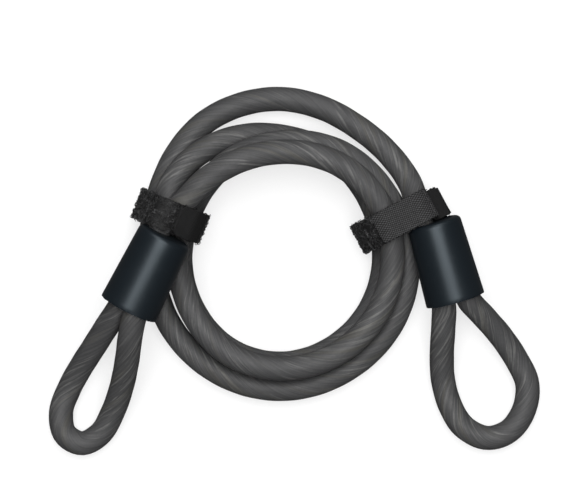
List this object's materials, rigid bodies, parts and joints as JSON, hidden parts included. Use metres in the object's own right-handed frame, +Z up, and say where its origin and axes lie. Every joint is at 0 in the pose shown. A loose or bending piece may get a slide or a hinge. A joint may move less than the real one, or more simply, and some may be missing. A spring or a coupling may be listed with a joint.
{
  "type": "cable lock",
  "caption": "Coiled steel security cable in a smoky black jacket, with a crimped loop at each end under a glossy cover, tied by hook-and-loop straps.",
  "frame": {"origin": "middle of the object's outline, on the surface it lies on", "axes": "+Z up, square to the plane of the coil; +X from the left eye towards the right eye; +Y away from both eyes"},
  "size_m": [0.2011, 0.1496, 0.0472],
  "materials": {
    "rope_steel": "zinc-coated strands",
    "jacket_pvc": "smoky black PVC, soft gloss",
    "ferrule_aluminium": "as pressed",
    "cover_plastic": "glossy blue-black",
    "tape_nylon": "woven nylon tape",
    "loop_pile": "brushed loop pile",
    "hook_facing": "moulded hooks",
    "thread": "polyester thread"
  },
  "bodies": {
    "cable": {"rope_core": "rope_steel", "rope_strands": "rope_steel", "jacket_coil": "jacket_pvc", "jacket_left_eye": "jacket_pvc", "jacket_right_eye": "jacket_pvc", "left_ferrule": "ferrule_aluminium", "right_ferrule": "ferrule_aluminium", "left_ferrule_cover": "cover_plastic", "right_ferrule_cover": "cover_plastic", "left_strap_band": "tape_nylon", "left_loop_pile": "loop_pile", "left_strap_stitching": "thread", "right_strap_band": "tape_nylon", "right_loop_pile": "loop_pile", "right_strap_stitching": "thread"},
    "left_tail": {"left_strap_tail": "tape_nylon", "left_hook_patch": "hook_facing"},
    "right_tail": {"right_strap_tail": "tape_nylon", "right_hook_patch": "hook_facing"}
  },
  "joints": [
    {"name": "left_tail_peel", "type": "hinge", "parent": "cable", "child": "left_tail", "pos_m": [-0.03732, 0.0178, 0.02085], "axis": [0.3746, 0.9272, 0], "range_deg": [0, 110]},
    {"name": "right_tail_peel", "type": "hinge", "parent": "cable", "child": "right_tail", "pos_m": [0.05039, 0.02643, 0.0324], "axis": [-0.4695, 0.8829, 0], "range_deg": [0, 120]}
  ]
}
